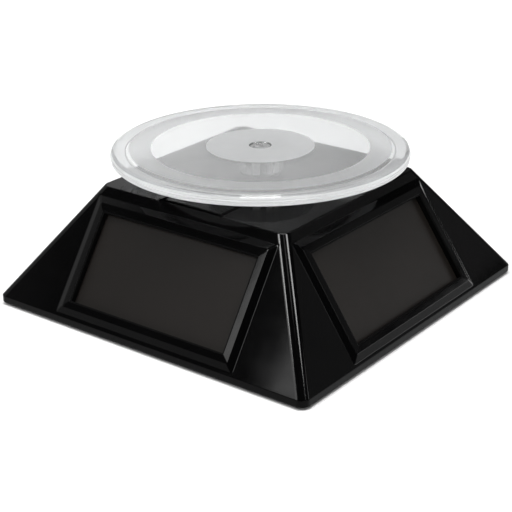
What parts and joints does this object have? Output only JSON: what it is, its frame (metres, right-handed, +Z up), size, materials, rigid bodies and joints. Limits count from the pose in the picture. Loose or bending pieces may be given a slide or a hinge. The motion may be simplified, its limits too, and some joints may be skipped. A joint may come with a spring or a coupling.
{
  "type": "turntable display stand",
  "caption": "Pyramid-based solar turntable for showing small items, with a clear round platter turned by a geared motor.",
  "frame": {"origin": "on the table, under the middle of the base", "axes": "+Z up along the spindle, -Y out of the front face (the one with the hatch above it), +X out of the right face"},
  "size_m": [0.11, 0.11, 0.0448],
  "materials": {
    "shell_plastic": "glossy moulded black",
    "cover_plastic": "fine matt black",
    "panel_glass": "smooth glass over dark warm grey cells",
    "foot_rubber": "matt black",
    "steel": "bright",
    "brass": "bright",
    "nylon": "natural white",
    "housing_plastic": "grey moulded",
    "clear_plastic": "clear and slightly milky, with frosted zones",
    "board": "green circuit board",
    "component_black": "black sleeve",
    "lead_sleeve": "red sleeve"
  },
  "bodies": {
    "base": {"base_shell": "shell_plastic", "bottom_cover": "cover_plastic", "solar_panel_front": "panel_glass", "solar_panel_right": "panel_glass", "solar_panel_back": "panel_glass", "solar_panel_left": "panel_glass", "foot_front_left": "foot_rubber", "foot_front_right": "foot_rubber", "foot_back_right": "foot_rubber", "foot_back_left": "foot_rubber", "cover_screw_front_left": "steel", "cover_screw_front_right": "steel", "cover_screw_back_right": "steel", "cover_screw_back_left": "steel", "gearbox_tray": "housing_plastic", "gearbox_lid": "housing_plastic", "gearbox_screw_front_left": "steel", "gearbox_screw_front_right": "steel", "gearbox_screw_back_right": "steel", "gearbox_screw_back_left": "steel", "motor": "steel", "idler_axle_1": "steel", "idler_axle_2": "steel", "spindle_bush": "cover_plastic", "thrust_washer": "nylon", "coin_cell": "steel", "cell_contact_bottom": "brass", "cell_contact_side": "brass", "circuit_board": "board", "storage_capacitor": "component_black", "diode": "component_black", "panel_lead_front": "lead_sleeve", "panel_lead_right": "lead_sleeve", "panel_lead_back": "lead_sleeve", "panel_lead_left": "lead_sleeve", "motor_lead": "lead_sleeve", "cell_lead": "lead_sleeve"},
    "hatch": {"hatch": "shell_plastic"},
    "turntable": {"spindle": "steel", "output_gear": "nylon"},
    "platter": {"platter": "clear_plastic"},
    "idler_2": {"idler_gear_2": "nylon"},
    "idler_1": {"idler_gear_1": "nylon"},
    "motor_rotor": {"motor_shaft": "steel", "motor_pinion": "brass"}
  },
  "joints": [
    {"name": "turn", "type": "hinge", "parent": "base", "child": "turntable", "pos_m": [0, 0, 0.038], "axis": [0, 0, 1], "continuous": true},
    {"name": "platter_lift", "type": "slide", "parent": "turntable", "child": "platter", "axis": [0, 0, 1], "range_m": [0, 0.006]},
    {"name": "hatch_tilt", "type": "hinge", "parent": "base", "child": "hatch", "pos_m": [0, -0.0105, 0.0352], "axis": [-1, 0, 0], "range_deg": [0, 20]},
    {"name": "idler_2_spin", "type": "hinge", "parent": "base", "child": "idler_2", "pos_m": [0.009, 0.01559, 0.02], "axis": [0, 0, 1], "continuous": true},
    {"name": "idler_1_spin", "type": "hinge", "parent": "base", "child": "idler_1", "pos_m": [-0.009, 0.01559, 0.02], "axis": [0, 0, 1], "continuous": true},
    {"name": "motor_spin", "type": "hinge", "parent": "base", "child": "motor_rotor", "pos_m": [-0.018, 0, 0.017], "axis": [0, 0, 1], "continuous": true}
  ],
  "couplings": [
    {"joint": "idler_2_spin", "follows": "turn", "ratio": -4},
    {"joint": "idler_1_spin", "follows": "turn", "ratio": 16},
    {"joint": "motor_spin", "follows": "turn", "ratio": -64}
  ]
}
